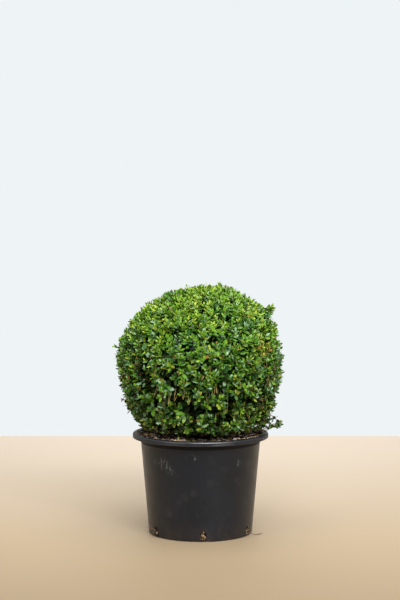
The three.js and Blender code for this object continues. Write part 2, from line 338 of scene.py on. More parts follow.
def bark(name, light, dark):
    """Furrowed corky bark, lighter on the ridges."""
    finish = Finish(name, roughness=0.85, specular=0.25)
    furrows = finish.noise(160, 6, finish.stretched(1, 1, 0.22))
    tone = finish.ramp(furrows, (0.36, dark), (0.62, light))
    lichen = finish.cloud(70, 4, (0.6, 0.0), (0.7, 0.45))
    finish.feed("Base Color", finish.mix(lichen, tone, srgb(150, 150, 120)))
    finish.bump(furrows, 0.0016, 0.9)
    return finish.material


# ---- pot

POT_RIM_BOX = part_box("pot_rim")
RIM_RADIUS = POT_RIM_BOX[1][0]
RIM_TOP = POT_RIM_BOX[1][2]
LIP_BOTTOM = POT_RIM_BOX[0][2]
BASE_RADIUS = 152 * MM
BELT_HEIGHT, BELT_RADIUS = 264 * MM, 175 * MM
NECK_RADIUS = 186.5 * MM
WALL = 3 * MM
RIM_PLATE = 3 * MM
FLOOR_PLATE = 4 * MM
POT_STEPS = 240
DRAIN_HOLES, DRAIN_TURN = 6, 3
DRAIN_WIDTH, DRAIN_LOW, DRAIN_HIGH = 19 * MM, 6 * MM, 31 * MM
# Scuffs on the wall: degrees from the front towards +X, height and reach in metres.
SCUFFS = ((-38, 0.224, 0.024), (-31, 0.206, 0.018), (-49, 0.228, 0.012),
          (-6, 0.247, 0.012), (40, 0.226, 0.012))


def bore(height):
    """Inside radius of the pot's wall at a height."""
    if height < BELT_HEIGHT:
        return BASE_RADIUS - WALL + (BELT_RADIUS - BASE_RADIUS) * height / BELT_HEIGHT
    flare = (height - BELT_HEIGHT) / (RIM_TOP - RIM_PLATE - BELT_HEIGHT)
    return BELT_RADIUS - WALL + (NECK_RADIUS - BELT_RADIUS) * (0.25 * flare + 0.75 * flare**2)


def arc(radius_centre, height_centre, size, start, end, steps):
    """Profile points on an arc, between two angles in degrees."""
    turns = np.radians(np.linspace(start, end, steps + 1))
    return [(radius_centre + size * math.cos(t), height_centre + size * math.sin(t)) for t in turns]


def pot_profile():
    """The pot's section, from the middle of its underside round to the middle of its inside floor."""
    foot, edge, bead = 2.5 * MM, 6.5 * MM, 1.6 * MM
    under = RIM_TOP - RIM_PLATE
    outer = RIM_RADIUS
    wall = [
        (BASE_RADIUS + (BELT_RADIUS - BASE_RADIUS) * share, BELT_HEIGHT * share)
        for share in np.linspace(0.04, 1, 16)
    ]
    neck_shares = (0.15, 0.3, 0.45, 0.6, 0.75, 0.88, 0.97)
    neck_heights = [BELT_HEIGHT + (under - BELT_HEIGHT) * share for share in neck_shares]
    neck = [(bore(height) + WALL, height) for height in neck_heights]
    inside = [(radius - WALL, height) for radius, height in reversed(wall + neck)]
    return [
        (0, 0),
        (BASE_RADIUS - 30 * MM, 0),
        *arc(BASE_RADIUS - foot, foot, foot, -90, -6, 5),
        *wall,
        *neck,
        (NECK_RADIUS + 1 * MM, under),
        (outer - RIM_PLATE - 1 * MM, under),
        (outer - RIM_PLATE, under - 1 * MM),
        *arc(outer - bead, LIP_BOTTOM + bead, bead, 180, 360, 8),
        (outer - 0.9 * MM, LIP_BOTTOM + 2.2 * bead),
        *arc(outer - edge, RIM_TOP - edge, edge, 4, 90, 9),
        (outer - 9 * MM, RIM_TOP - 0.5 * MM),
        *arc(NECK_RADIUS - WALL + 1.6 * MM, RIM_TOP - 2.2 * MM, 1.6 * MM, 90, 180, 3),
        *inside,
        (BASE_RADIUS - WALL, FLOOR_PLATE),
        (0, FLOOR_PLATE),
    ]


def lathe(name, profile, steps, materials):
    """A closed solid turned about the Z axis, with its two axis points shared by all its sectors."""
    radii = np.array([point[0] for point in profile[1:-1]])
    heights = np.array([point[1] for point in profile[1:-1]])
    turns = np.arange(steps)[:, None] / steps * 2 * math.pi
    sectors = polar(radii, turns, heights).reshape(-1, 3)
    points = np.vstack([sectors, [(0, 0, profile[0][1]), (0, 0, profile[-1][1])]])
    rows = len(radii)
    faces = []
    for step in range(steps):
        here, there = step * rows, (step + 1) % steps * rows
        faces += [(here + i, there + i, there + i + 1, here + i + 1) for i in range(rows - 1)]
        faces.append((steps * rows, there, here))
        faces.append((steps * rows + 1, here + rows - 1, there + rows - 1))
    mesh = bpy.data.meshes.new(name)
    mesh.from_pydata(points.tolist(), [], faces)
    for material in materials:
        mesh.materials.append(material)
    return add_object(name, mesh)


def drain_cutter(azimuth):
    """An upright slot with round ends that runs out through the wall at an azimuth from the front."""
    half, depth, steps = DRAIN_WIDTH / 2, 14 * MM, 8
    head = arc(0, DRAIN_HIGH - half, half, 0, 180, steps)
    outline = head + arc(0, DRAIN_LOW + half, half, 180, 360, steps)
    count = len(outline)
    points = [(x, -BASE_RADIUS + side * depth, z) for side in (-1, 1) for x, z in outline]
    faces = [list(range(count)), list(range(2 * count - 1, count - 1, -1))]
    faces += [(i, i + count, (i + 1) % count + count, (i + 1) % count) for i in range(count)]
    mesh = bpy.data.meshes.new("drain_cutter")
    mesh.from_pydata(points, [], faces)
    thing = add_object("drain_cutter", mesh)
    thing.rotation_euler.z = math.radians(azimuth)
    return thing


def settle(thing):
    """Replaces a piece's mesh by what its modifiers make of it."""
    mesh = bpy.data.meshes.new_from_object(thing.evaluated_get(bpy.context.evaluated_depsgraph_get()))
    thing.modifiers.clear()
    thing.data = mesh


def on_wall(azimuth, height):
    """A place on the outside of the pot's wall, at an azimuth in degrees from the front towards +X."""
    return polar(bore(height) + WALL, math.radians(azimuth - 90), height)


def make_pot():
    scuffs = [(on_wall(azimuth, height), size) for azimuth, height, size in SCUFFS]
    under_rim, rim = under_rim_painted_shade(), rim_plastic()
    finishes = [pot_plastic(scuffs), under_rim, rim]
    pot = lathe("pot_moulding", pot_profile(), POT_STEPS, finishes)
    for face in pot.data.polygons:
        radius, height = math.hypot(face.center.x, face.center.y), face.center.z
        lip = height > LIP_BOTTOM - 1 * MM and radius > RIM_RADIUS - RIM_PLATE - 0.1 * MM
        if lip or height > RIM_TOP - 2.5 * MM:
            face.material_index = finishes.index(rim)
        # painted shade: the flare under the rim takes the darker under-rim finish
        elif height > BELT_HEIGHT + 4 * MM and radius > bore(height) + 0.5 * WALL:
            face.material_index = finishes.index(under_rim)
    cutters = [drain_cutter(DRAIN_TURN + 360 * i / DRAIN_HOLES) for i in range(DRAIN_HOLES)]
    for cutter in cutters:
        cut = pot.modifiers.new("drain", "BOOLEAN")
        cut.object, cut.operation, cut.solver = cutter, "DIFFERENCE", "EXACT"
    settle(pot)
    for cutter in cutters:
        bpy.data.objects.remove(cutter)
    pot.data.shade_smooth()
    pot.data.set_sharp_from_angle(angle=math.radians(40))
    place(pot, "pot_plastic", "pot", "pot_rim")


# ---- compost and what lies on it

SOIL_TOP = 288 * MM
SOIL_EDGE = 180.5 * MM
SOIL_BANK, BANK_START = 4 * MM, 120 * MM  # how much it rises towards the rim, and from how far out
SOIL_GAP = 0.4 * MM
SOIL_LEVELS = (0.281, 0.262, 0.18, 0.09, 0.04, 0.005)  # heights of the rings down its side, in metres


def on_soil(radius, turn, lift=0.0):
    """Places on the compost's crumbly top, or over it."""
    points = polar(radius, turn, 0.0).reshape(-1, 3)
    lumps = ripple(points, 60 * MM, 3, 2) * 2.0 * MM + ripple(points, 11 * MM, 4, 2) * 1.1 * MM
    out = (np.hypot(points[:, 0], points[:, 1]) - BANK_START) / (SOIL_EDGE - BANK_START)
    points[:, 2] = SOIL_TOP + lumps + np.clip(out, 0, 1) ** 1.5 * SOIL_BANK + lift
    return points


def make_compost():
    rings, steps = 70, 200
    turns = np.arange(steps) / steps * 2 * math.pi
    top = on_soil(np.linspace(0, SOIL_EDGE, rings + 1)[1:, None], turns)
    side = [polar(bore(level) - SOIL_GAP, turns, level) for level in SOIL_LEVELS]
    count = (rings + len(SOIL_LEVELS)) * steps
    points = np.vstack([top, *side, on_soil(0, 0), (0, 0, SOIL_LEVELS[-1])])
    skin = between_rings(count // steps, steps)[:, ::-1]
    faces = np.vstack([skin, fan(0, steps, count), fan(count - steps, steps, count + 1)[:, ::-1]])
    place(add_mesh("compost_fill", points, faces, [compost_soil()]), "compost", "compost")


CUBE_CORNERS = np.array([(x, y, z) for x in (-1, 1) for y in (-1, 1) for z in (-1, 1)], float)
CUBE_FACES = np.array([(0, 1, 3), (0, 3, 2), (4, 6, 7), (4, 7, 5), (0, 4, 5), (0, 5, 1),
                       (2, 3, 7), (2, 7, 6), (0, 2, 6), (0, 6, 4), (1, 5, 7), (1, 7, 3)])


def crumb(rng, centre, size, flat=0.45):
    """One irregular chip: a box with its corners pushed about and turned at random."""
    corners = CUBE_CORNERS * (1 + rng.uniform(-0.45, 0.3, (8, 1))) + rng.uniform(-0.25, 0.25, (8, 3))
    corners = corners * size * 0.5 * np.array([1.0, rng.uniform(0.4, 0.8), rng.uniform(0.3, 1.0) * flat])
    lean, roll = rng.uniform(-0.6, 0.6), rng.uniform(0, 2 * math.pi)
    tilt = np.array([[1, 0, 0], [0, math.cos(lean), -math.sin(lean)], [0, math.sin(lean), math.cos(lean)]])
    spin = np.array([[math.cos(roll), -math.sin(roll), 0], [math.sin(roll), math.cos(roll), 0], [0, 0, 1]])
    return centre + corners @ (spin @ tilt).T


CHIP_TONES = (
    ("chip_dark", (34, 27, 22)), ("chip_brown", (80, 62, 48)), ("chip_tan", (176, 148, 122)),
    ("chip_pink", (222, 194, 180)), ("chip_grit", (170, 166, 160)), ("chip_orange", (150, 124, 84)))
# How often each tone comes: in the bed, on the rim and in the drainage holes.
BED_SHARES = (0.36, 0.24, 0.17, 0.13, 0.06, 0.04)
RIM_SHARES = (0.4, 0.3, 0.14, 0.06, 0.05, 0.05)
PLUG_SHARES = (0.5, 0.2, 0.1, 0.02, 0.04, 0.14)
BED_CHIPS, LARGE_CHIPS, RIM_CHIPS, PLUG_CHIPS = 3000, 90, 110, 75


def crumb_size(rng, typical, spread, least, most):
    """A random size about a typical one, in metres from millimetres."""
    return float(np.clip(rng.lognormal(math.log(typical), spread), least, most)) * MM


def make_chips(tones):
    """Bark chips and grit on the compost, and crumbs of it that lie on the rim."""
    rng = np.random.default_rng(SEED + 1)
    heap = Heap()
    for _ in range(BED_CHIPS):
        radius, turn = SOIL_EDGE * math.sqrt(rng.uniform(0.2, 0.99)), rng.uniform(0, 2 * math.pi)
        size = crumb_size(rng, 4.4, 0.45, 1.8, 14)
        spot = on_soil(min(radius, SOIL_EDGE - 0.6 * size), turn, size * rng.uniform(0.05, 0.3))
        tone = rng.choice(6, p=BED_SHARES)  # drawn before the crumb's own shape
        heap.add(crumb(rng, spot, size), CUBE_FACES, tone)
    for _ in range(LARGE_CHIPS):
        radius, turn = SOIL_EDGE * math.sqrt(rng.uniform(0.6, 0.9)), rng.uniform(0, 2 * math.pi)
        size = rng.uniform(9, 17) * MM
        heap.add(crumb(rng, on_soil(radius, turn, 0.15 * size), size), CUBE_FACES,
                 rng.choice([1, 2, 3], p=[0.3, 0.4, 0.3]))
    for _ in range(RIM_CHIPS):
        turn = math.radians(rng.normal(-80, 26) - 90 if rng.random() < 0.75 else rng.uniform(0, 360))
        radius = NECK_RADIUS - WALL + abs(rng.normal(0, 4)) * MM
        size = crumb_size(rng, 2.6, 0.4, 1.4, 6)
        spot = polar(radius, turn, RIM_TOP + 0.1 * size)
        heap.add(crumb(rng, spot, size), CUBE_FACES, rng.choice(6, p=RIM_SHARES))
    heap.piece("bark_chips", tones, "compost", smooth=False)


def make_plugs(tones):
    """Compost and bits of root that fill the drainage holes from behind."""
    rng = np.random.default_rng(SEED + 2)
    heap = Heap()
    for hole in range(DRAIN_HOLES):
        azimuth = DRAIN_TURN + 360 * hole / DRAIN_HOLES
        for _ in range(PLUG_CHIPS):
            aside = rng.uniform(-1, 1) * DRAIN_WIDTH * 0.46
            height = rng.uniform(DRAIN_LOW + 1 * MM, DRAIN_HIGH - 1 * MM)
            x, y, z = on_wall(azimuth + math.degrees(aside / BASE_RADIUS), height)
            inward = 1 - rng.uniform(0.8, 4.2) * MM / BASE_RADIUS
            size = crumb_size(rng, 4.2, 0.4, 2, 8)
            tone = rng.choice(6, p=PLUG_SHARES)
            heap.add(crumb(rng, np.array([x * inward, y * inward, z]), size, 0.9), CUBE_FACES, tone)
    heap.piece("drain_hole_plugs", tones, "compost", smooth=False)


def make_rootlets():
    """Two thin dry rootlets that have grown out of the drainage holes at either side."""
    pale = plain("rootlet_dry", (112, 88, 66), 0.7, 0.3)
    heap = Heap()
    left, right = on_wall(-57, 0.02), on_wall(63, 0.012)
    share = np.linspace(0, 1, 12)[:, None]
    for curve in (
        (left * 0.97, left * 1.07 + UP * 4 * MM, left * 1.09 + (-0.016, 0.012, 0.006)),
        (left * 0.98 + UP * 4 * MM, left * 1.05, left * 1.06 + (-0.004, -0.006, -0.016)),
        (right * 0.97, right * 1.1 - UP * 0.007, (0.176, -0.052, 0.0015)),
        ((0.158, -0.062, 0.004), (0.17, -0.05, 0.002), (0.184, -0.03, 0.0015)),
    ):
        start, bend, end = np.array(curve)
        path = start * (1 - share) ** 2 + bend * 2 * share * (1 - share) + end * share**2
        path[:, 2] = np.maximum(path[:, 2], 0.0011)
        heap.add(*tube(path, np.linspace(1.1, 0.5, 12) * MM, 6))
    heap.piece("rootlets", [pale], "bark")


# ---- trunk and boughs

def node_arrays(name):
    """Points and edges of a CAD node."""
    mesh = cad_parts[name].data
    points = np.empty(len(mesh.vertices) * 3)
    mesh.vertices.foreach_get("co", points)
    edges = np.empty(len(mesh.edges) * 2, np.int32)
    mesh.edges.foreach_get("vertices", edges)
    points = points.reshape(-1, 3)
    matrix = np.array(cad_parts[name].matrix_world)
    return points @ matrix[:3, :3].T + matrix[:3, 3], edges.reshape(-1, 2)


def sections(name, axis, shares):
    """Centre and mean radius of a limb's node where planes across an axis cut it."""
    points, edges = node_arrays(name)
    along = points @ axis
    low, high = along.min(), along.max()
    centres, radii = [], []
    for share in shares:
        level = low + (high - low) * share
        first, second = edges[:, 0], edges[:, 1]
        crossing = (along[first] - level) * (along[second] - level) < 0
        first, second = first[crossing], second[crossing]
        part = ((level - along[first]) / (along[second] - along[first]))[:, None]
        cut = points[first] * (1 - part) + points[second] * part
        centre = (cut.min(0) + cut.max(0)) / 2
        centres.append(centre)
        radii.append(np.linalg.norm(cut - centre, axis=1).mean())
    return np.array(centres), np.array(radii)


def resample(path, radii, count):
    """A path and its radii at evenly spread places."""
    length = path_lengths(path)
    shares = np.linspace(0, length[-1], count)
    return along_path(path, length, shares), np.interp(shares, length, radii)


def barked(node, path, radii, sides, rings, relief, material, flare=None):
    """A limb in place of its CAD node, with furrowed bark standing out of its surface."""
    path, radii = resample(path, radii, rings)
    points, faces = tube(path, radii, sides)
    ringed = points[:-1].reshape(rings, sides, 3)
    away = ringed - path[:, None]
    turns = np.arange(sides) / sides * 2 * math.pi
    spine = path_lengths(path)[:, None]
    grain = polar(radii.mean(), turns, spine * 0.25)
    furrows = ripple(grain.reshape(-1, 3), 6 * MM, 21, 3).reshape(rings, sides, 1)
    swelling = 1 + relief * furrows
    if flare is not None:
        swelling = swelling * flare(spine, turns)[..., None]
    points[:-1] = (path[:, None] + away * swelling).reshape(-1, 3)
    place(add_mesh(node + "_bark", points, faces, [material]), "bark", node)


def root_flare(spine, turns):
    """Five blunt ridges that run out into the compost."""
    fade = np.exp(-spine / (10 * MM))
    return 1 + 0.16 * fade * np.cos(5 * turns)


def make_wood():
    """The trunk and boughs. Returns each bough's end, which way it points and how thick it is there."""
    wood = bark("bark_old", srgb(158, 134, 100), srgb(84, 64, 46))
    centres, radii = sections("trunk", UP, np.linspace(0.03, 0.97, 12))
    foot = centres[0] - UP * 4 * MM
    top = centres[-1] + UP * 3 * MM
    path = np.vstack([foot, centres, top])
    thick = np.concatenate([[radii[0] * 1.04], radii, [radii[-1] * 0.72]])
    barked("trunk", path, thick, 56, 70, 0.05, wood, root_flare)
    ends = []
    names = sorted(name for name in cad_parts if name.startswith("bough_"))
    for name in names:
        points, _ = node_arrays(name)
        middle = points.mean(0)
        axis = np.linalg.svd(points - middle, full_matrices=False)[2][0]
        axis = axis if axis[2] > 0 else -axis
        centres, radii = sections(name, axis, np.linspace(0.22, 0.8, 6))
        start_way, end_way = unit(centres[1] - centres[0]), unit(centres[-1] - centres[-2])
        foot = centres[0] - start_way * 14 * MM
        tip = centres[-1] + end_way * 9 * MM
        path = np.vstack([foot, centres, tip])
        thick = np.concatenate([[radii[0] * 1.15], radii, [radii[-1] * 0.95]])
        barked(name, path, thick, 20, 30, 0.07, wood)
        ends.append((tip, end_way, thick[-1]))
    return ends


# ---- the clipped face of the crown

CROWN_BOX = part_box("crown")
CROWN_LOW, CROWN_TOP = CROWN_BOX[0][2], CROWN_BOX[1][2]
CROWN_CENTRE = np.array([0.0, 0.0, 485 * MM])


class ClippedFace:
    """How far the crown's solid reaches from its centre, in every direction."""

    def __init__(self):
        corners, _ = node_arrays("crown")
        faces = [tuple(face.vertices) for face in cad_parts["crown"].data.polygons]
        tree = BVHTree.FromPolygons([Vector(point) for point in corners], faces)
        self.lifts, self.turns = 121, 240
        self.table = np.zeros((self.lifts, self.turns + 1))
        far, inmost = 1.0, 0.1
        for i, lift in enumerate(np.linspace(-math.pi / 2, math.pi / 2, self.lifts)):
            for j, turn in enumerate(np.linspace(0, 2 * math.pi, self.turns + 1)):
                level = math.cos(lift)
                way = Vector((level * math.cos(turn), level * math.sin(turn), math.sin(lift)))
                hit = tree.ray_cast(Vector(CROWN_CENTRE) + way * far, -way)
                self.table[i, j] = far - hit[3] if hit[3] is not None else inmost

    def reach(self, ways):
        lift = (np.arcsin(np.clip(ways[:, 2], -1, 1)) / math.pi + 0.5) * (self.lifts - 1)
        turn = (np.arctan2(ways[:, 1], ways[:, 0]) / (2 * math.pi) % 1) * self.turns
        i = np.clip(lift.astype(int), 0, self.lifts - 2)
        j = np.clip(turn.astype(int), 0, self.turns - 1)
        a, b = lift - i, turn - j
        table = self.table
        return (
            table[i, j] * (1 - a) * (1 - b) + table[i + 1, j] * a * (1 - b)
            + table[i, j + 1] * (1 - a) * b + table[i + 1, j + 1] * a * b
        )

    def surface(self, ways, depth=0.0):
        """Places at a depth behind the clipped face, in directions from the crown's centre."""
        return CROWN_CENTRE + ways * (self.reach(ways) - depth)[:, None]


# ---- branching

TIPS = 4200
INNER_TIPS, LOW_INNER_TIPS = 2150, 460
LOW_EDGE_TIPS, STRAY_TIPS, TUFT_SHOOTS = 340, 44, 8
SPRAY_SPACING = 36 * MM
SHOOT_LENGTH = 34 * MM
# How far shoots end behind the clipped face, in mm: most of them, some, a few, and those inside.
SHOOT_DEPTHS = (2, 8), (8, 22), (22, 55)
INNER_DEPTHS = (38, 110)
LOW_INNER_RADII, LOW_INNER_HEIGHTS = (70, 182), (318, 392)  # where more shoots lie inside, in mm
LOW_EDGE_LIFTS = (-46, -27)  # degrees over the level of the crown's centre
RISERS = 0.09  # the share of shoots that climb a long way behind the clipped face
FORK_STEP = 8 * MM  # how much further from its shoots a limb forks for each doubling of their number
TWIG_RADIUS = 0.95 * MM
PIPE_POWER = 0.31  # how a limb's radius grows with the number of its shoots
BOUGH_AIM = 110 * MM  # how far beyond its end a bough looks for the shoots that it feeds
SAG, SAGGING_LOAD = 16 * MM, 14  # how far limbs with fewer shoots than that droop at their fork
BRANCH_LOAD = 25  # limbs with more shoots than that have bark, the rest are twigs
LEAFY_LOAD = 30  # limbs with fewer shoots than that carry old leaves along their length


def spread_ways(count, rng):
    """Directions spread evenly over a ball, each moved a little at random."""
    index = np.arange(count) + 0.5
    z = 1 - 2 * index / count
    turn = index * math.pi * (3 - math.sqrt(5))
    ways = polar(np.sqrt(1 - z * z), turn, z)
    return unit(ways + rng.normal(scale=0.7 * math.sqrt(4 * math.pi / count), size=(count, 3)))


def share_height(points):
    """How high points lie in the crown, from 0 at its foot to 1 at its top."""
    return np.clip((points[:, 2] - CROWN_LOW) / (CROWN_TOP - CROWN_LOW), 0, 1)


class Shoots:
    """The leafy shoot tips: where each ends, which way it points there, and its spray."""

    def __init__(self, face, rng):
        ways = spread_ways(TIPS, rng)
        points = face.surface(ways)
        hidden = (points[:, 2] < CROWN_LOW + 14 * MM) & (np.hypot(points[:, 0], points[:, 1]) < 140 * MM)
        ways = np.vstack([ways[~hidden | (rng.random(TIPS) < 0.4)], self.low_edge(rng)])
        points = face.surface(ways)
        height = share_height(points)
        open_places = ripple(points, 42 * MM, 8, 2) < -1.0 + 0.9 * (1 - height)
        keep = ~open_places | (rng.random(len(points)) < 0.35)
        keep &= rng.random(len(points)) > 0.54 * np.clip(1.3 - 1.6 * height, 0, 1)
        ways, points, height = ways[keep], points[keep], height[keep]
        count = len(points)
        draw = rng.random(count)
        outer, middle, deep = (rng.uniform(low, high, count) * MM for low, high in SHOOT_DEPTHS)
        depth = np.where(draw < 0.6, outer, np.where(draw < 0.82, middle, deep))
        centres, self.spray = self.sprays(points, rng)
        away = np.linalg.norm(points - centres[self.spray], axis=1)
        edge = np.clip(away / (26 * MM) - 0.6, 0, 1)
        low = height < 0.08
        depth += edge * (11 - 5 * height) * MM * ~low
        self.depth = np.where(low, depth * 0.5, depth)
        self.points = face.surface(ways, self.depth)
        lean = 1.9 - 1.3 * height
        self.ways = unit(ways + UP * lean[:, None] + rng.normal(scale=0.3, size=(count, 3)))
        self.stray, self.inner = np.zeros(count, bool), np.zeros(count, bool)
        self.sprays_made = len(centres)
        self.shade_tips(face, rng)

    def shade_tips(self, face, rng):
        """Shoots deeper in, whose dark leaves, mostly in the painted shade tone, close the view through
        the crown.
        """
        ways = spread_ways(INNER_TIPS, rng)
        height = share_height(face.surface(ways))
        depth = rng.uniform(*INNER_DEPTHS, len(ways)) * (0.55 + 0.45 * height) * MM
        turn = rng.uniform(0, 2 * math.pi, LOW_INNER_TIPS)
        radius = rng.uniform(*LOW_INNER_RADII, LOW_INNER_TIPS) * MM
        rise = rng.uniform(*LOW_INNER_HEIGHTS, LOW_INNER_TIPS) * MM
        points = np.vstack([face.surface(ways, depth), polar(radius, turn, rise)])
        ways = unit(points - CROWN_CENTRE)
        self.add(points, unit(ways + 0.8 * UP + rng.normal(scale=0.4, size=points.shape)), inner=True)

    @staticmethod
    def low_edge(rng):
        """More directions round the crown's lower edge, where shoots hang to the rim."""
        turn = rng.uniform(0, 2 * math.pi, LOW_EDGE_TIPS)
        lift = np.radians(rng.uniform(*LOW_EDGE_LIFTS, LOW_EDGE_TIPS))
        return polar(np.cos(lift), turn, np.sin(lift))

    @staticmethod
    def sprays(points, rng):
        """Centres of the sprays, picked far apart, and which of them each point belongs to."""
        order = rng.permutation(len(points))
        centres = []
        for i in order:
            if all(np.sum((points[i] - c) ** 2) > SPRAY_SPACING**2 for c in centres):
                centres.append(points[i])
        centres = np.array(centres)
        own = np.array([np.argmin(np.sum((centres - p) ** 2, axis=1)) for p in points])
        return centres, own

    def add(self, points, ways, inner=False):
        """More shoots: the ones inside, and the stray ones that the shears missed."""
        count = len(points)
        self.points = np.vstack([self.points, points])
        self.ways = np.vstack([self.ways, ways])
        self.spray = np.concatenate([self.spray, np.arange(count) // 3 + self.sprays_made])
        self.depth = np.concatenate([self.depth, np.zeros(count)])
        self.stray = np.concatenate([self.stray, np.full(count, not inner)])
        self.inner = np.concatenate([self.inner, np.full(count, inner)])
        self.sprays_made += count // 3 + 1


def stray_shoots(face, rng):
    """Points and directions of the loose growth: the two tufts, and a few shoots all round."""
    points, ways = [], []
    for name in ("tuft_shoulder", "tuft_foot"):
        corners, _ = node_arrays(name)
        far = np.linalg.norm(corners - CROWN_CENTRE, axis=1)
        outer = corners[far > np.quantile(far, 0.4)]
        middle = corners.mean(0)
        tip = corners[np.argmax(far)]
        long_way = unit(tip - middle)
        for i in range(TUFT_SHOOTS):
            pick = outer[rng.integers(len(outer))]
            share = rng.uniform(0.4, 0.9)
            points.append(pick * share + tip * (1 - share) if i else tip - long_way * 3 * MM)
            ways.append(unit(long_way + rng.normal(scale=0.3, size=3)))
    for _ in range(STRAY_TIPS):
        way = unit(rng.normal(size=3) + np.array([0, 0, 0.25]))
        if way[2] < -0.55:
            continue
        points.append(face.surface(way[None], -rng.uniform(-3, 6) * MM)[0])
        ways.append(unit(way + UP * 0.8 + rng.normal(scale=0.4, size=3)))
    return np.array(points), np.array(ways)


def halves(points, rng):
    """Parts a set of points in two or three by where they lie."""
    count = 3 if len(points) > 5 and rng.random() < 0.35 else 2
    seeds = points[rng.choice(len(points), count, replace=False)]
    for _ in range(5):
        own = np.argmin(((points[:, None] - seeds[None]) ** 2).sum(-1), axis=1)
        for k in range(count):
            if (own == k).any():
                seeds[k] = points[own == k].mean(0)
    parts = [np.flatnonzero(own == k) for k in range(count)]
    parts = [part for part in parts if len(part)]
    return parts if len(parts) > 1 else [np.arange(0, len(points), 2), np.arange(1, len(points), 2)]


def branch(shoots, ends, rng):
    """Grows limbs from the boughs to every shoot. Returns them, and each shoot's start and direction."""
    tips = shoots.points
    aims = np.array([tip + way * BOUGH_AIM for tip, way, _ in ends])
    cost = np.linalg.norm(tips[:, None] - aims[None], axis=2)
    own = np.argmin(cost, axis=1)
    limbs, origin, heading = [], np.zeros_like(tips), np.zeros_like(tips)
    stack = [(np.flatnonzero(own == k), end[0], end[1], end[2]) for k, end in enumerate(ends)]
    while stack:
        members, start, way, thick = stack.pop()
        if len(members) == 0:
            continue
        if len(members) == 1:
            origin[members[0]], heading[members[0]] = start, way
            continue
        mine = tips[members]
        middle = mine.mean(0)
        spread = math.sqrt(((mine - middle) ** 2).sum(1).mean())
        ahead = middle - start
        distance = float(np.linalg.norm(ahead))
        clear = max(SHOOT_LENGTH + FORK_STEP * math.log2(len(members)), 1.05 * spread)
        travel = distance - clear * rng.uniform(0.85, 1.2)
        if travel > 4 * MM:
            end_way = unit(ahead / distance + 0.35 * way + 0.12 * UP + rng.normal(scale=0.1, size=3))
            fork = start + ahead / distance * travel + rng.normal(scale=0.05, size=3) * travel
            if len(members) < SAGGING_LOAD:
                sag = SAG * (1.15 - share_height(middle[None])[0])
                fork = fork - UP * min(sag, 0.4 * travel)
                end_way = unit(end_way + 0.5 * UP)
            radius = min(TWIG_RADIUS * len(members) ** PIPE_POWER, thick)
            limbs.append((start, way, fork, end_way, thick, radius, len(members)))
            start, way, thick = fork, end_way, radius
        for part in halves(mine, rng):
            stack.append((members[part], start, way, thick))
    return limbs, origin, heading


# ---- leaves

# One leaf on its own axes, for a length and a width of 1: its outline from the stalk round by the tip, and
# then two points on the midrib. The third value is how far the edges curl down.
LEAF = (np.array([
    (0.00, 0.00, 0.00), (0.20, 0.34, 0.35), (0.50, 0.50, 0.6), (0.82, 0.34, 0.5), (1.00, 0.00, 0.15),
    (0.82, -0.34, 0.5), (0.50, -0.50, 0.6), (0.20, -0.34, 0.35), (0.30, 0.00, 0.00), (0.68, 0.00, 0.00)
]), np.array([
    (0, 8, 1), (1, 8, 2), (2, 8, 9), (2, 9, 3), (3, 9, 4),
    (0, 7, 8), (7, 6, 8), (6, 9, 8), (6, 5, 9), (5, 4, 9)
]))
# The leaf of the crown's shaded inside: the same outline with fewer corners, folded along its midrib.
SHADE_LEAF = (np.array([
    (0.0, 0.0, 0.0), (0.3, 0.45, 0.4), (0.75, 0.45, 0.5),
    (1.0, 0.0, 0.1), (0.75, -0.45, 0.5), (0.3, -0.45, 0.4)
]), np.array([(0, 3, 1), (1, 3, 2), (0, 5, 3), (5, 4, 3)]))

# Leaf colours from the youngest to the oldest, then the odd ones, the painted sheen and the painted shade,
# each with its roughness and gloss.
LEAF_TONES = [
    ("leaf_young_a", (156, 178, 60), 0.5, 0.3),
    ("leaf_young_b", (140, 170, 46), 0.46, 0.3),
    ("leaf_fresh_a", (123, 161, 40), 0.42, 0.35),
    ("leaf_fresh_b", (110, 154, 36), 0.4, 0.35),
    ("leaf_green_a", (93, 142, 34), 0.37, 0.4),
    ("leaf_green_b", (79, 128, 38), 0.34, 0.45),
    ("leaf_deep_a", (67, 113, 44), 0.32, 0.5),
    ("leaf_deep_b", (57, 103, 46), 0.31, 0.5),
    ("leaf_dark_a", (48, 84, 30), 0.34, 0.3),
    ("leaf_dark_b", (40, 66, 14), 0.34, 0.3),
    ("leaf_olive", (130, 138, 40), 0.42, 0.4),
    ("leaf_yellow", (174, 170, 62), 0.45, 0.3),
    ("leaf_rust", (148, 114, 46), 0.5, 0.3),
    # painted sheen: a pale grey-green that stands in for the glossy leaves' highlights
    ("leaf_pale_painted_sheen", (132, 170, 122), 0.36, 0.5),
    # painted shade: a near-black green for the hidden leaves inside the crown
    ("leaf_painted_shade", (26, 40, 12), 0.5, 0.15),
]
AGES = 10
FRESH, DEEP = 2, 6  # among the ages: inside the crown, leaves from DEEP on take the darker tone of painted shade instead
OLIVE, YELLOW, RUST, PAINTED_SHEEN, PAINTED_SHADE = 10, 11, 12, 13, 14
INTERNODE = 6.8 * MM
LEAFY_LENGTH = 44 * MM
STRAY_LEAFY = 60 * MM
INNER_INTERNODE, INNER_LEAFY, INNER_AGE = 9 * MM, 60 * MM, 8.5
LEAF_PIECES = ["leaves_1", "leaves_2", "leaves_3"]
# Leaf lengths in mm: at the crown's foot, how much less at its top, their spread, the least and the most.
LEAF_SIZE, LEAF_SIZE_LOSS, LEAF_SIZE_SPREAD, LEAF_LEAST, LEAF_MOST = 18.8, 1.2, 2.4, 12, 25
SHADE_SCALE = 1.35  # hidden leaves are this much larger, so that fewer close the view through the crown
CLUMP_TURN = math.radians(106)  # where the crown hangs down to the rim, clockwise from +X
YELLOWED = CROWN_CENTRE + np.array([187, -140, 74]) * MM  # failing shoots on the right of the front
YELLOWED_REACH = 40 * MM


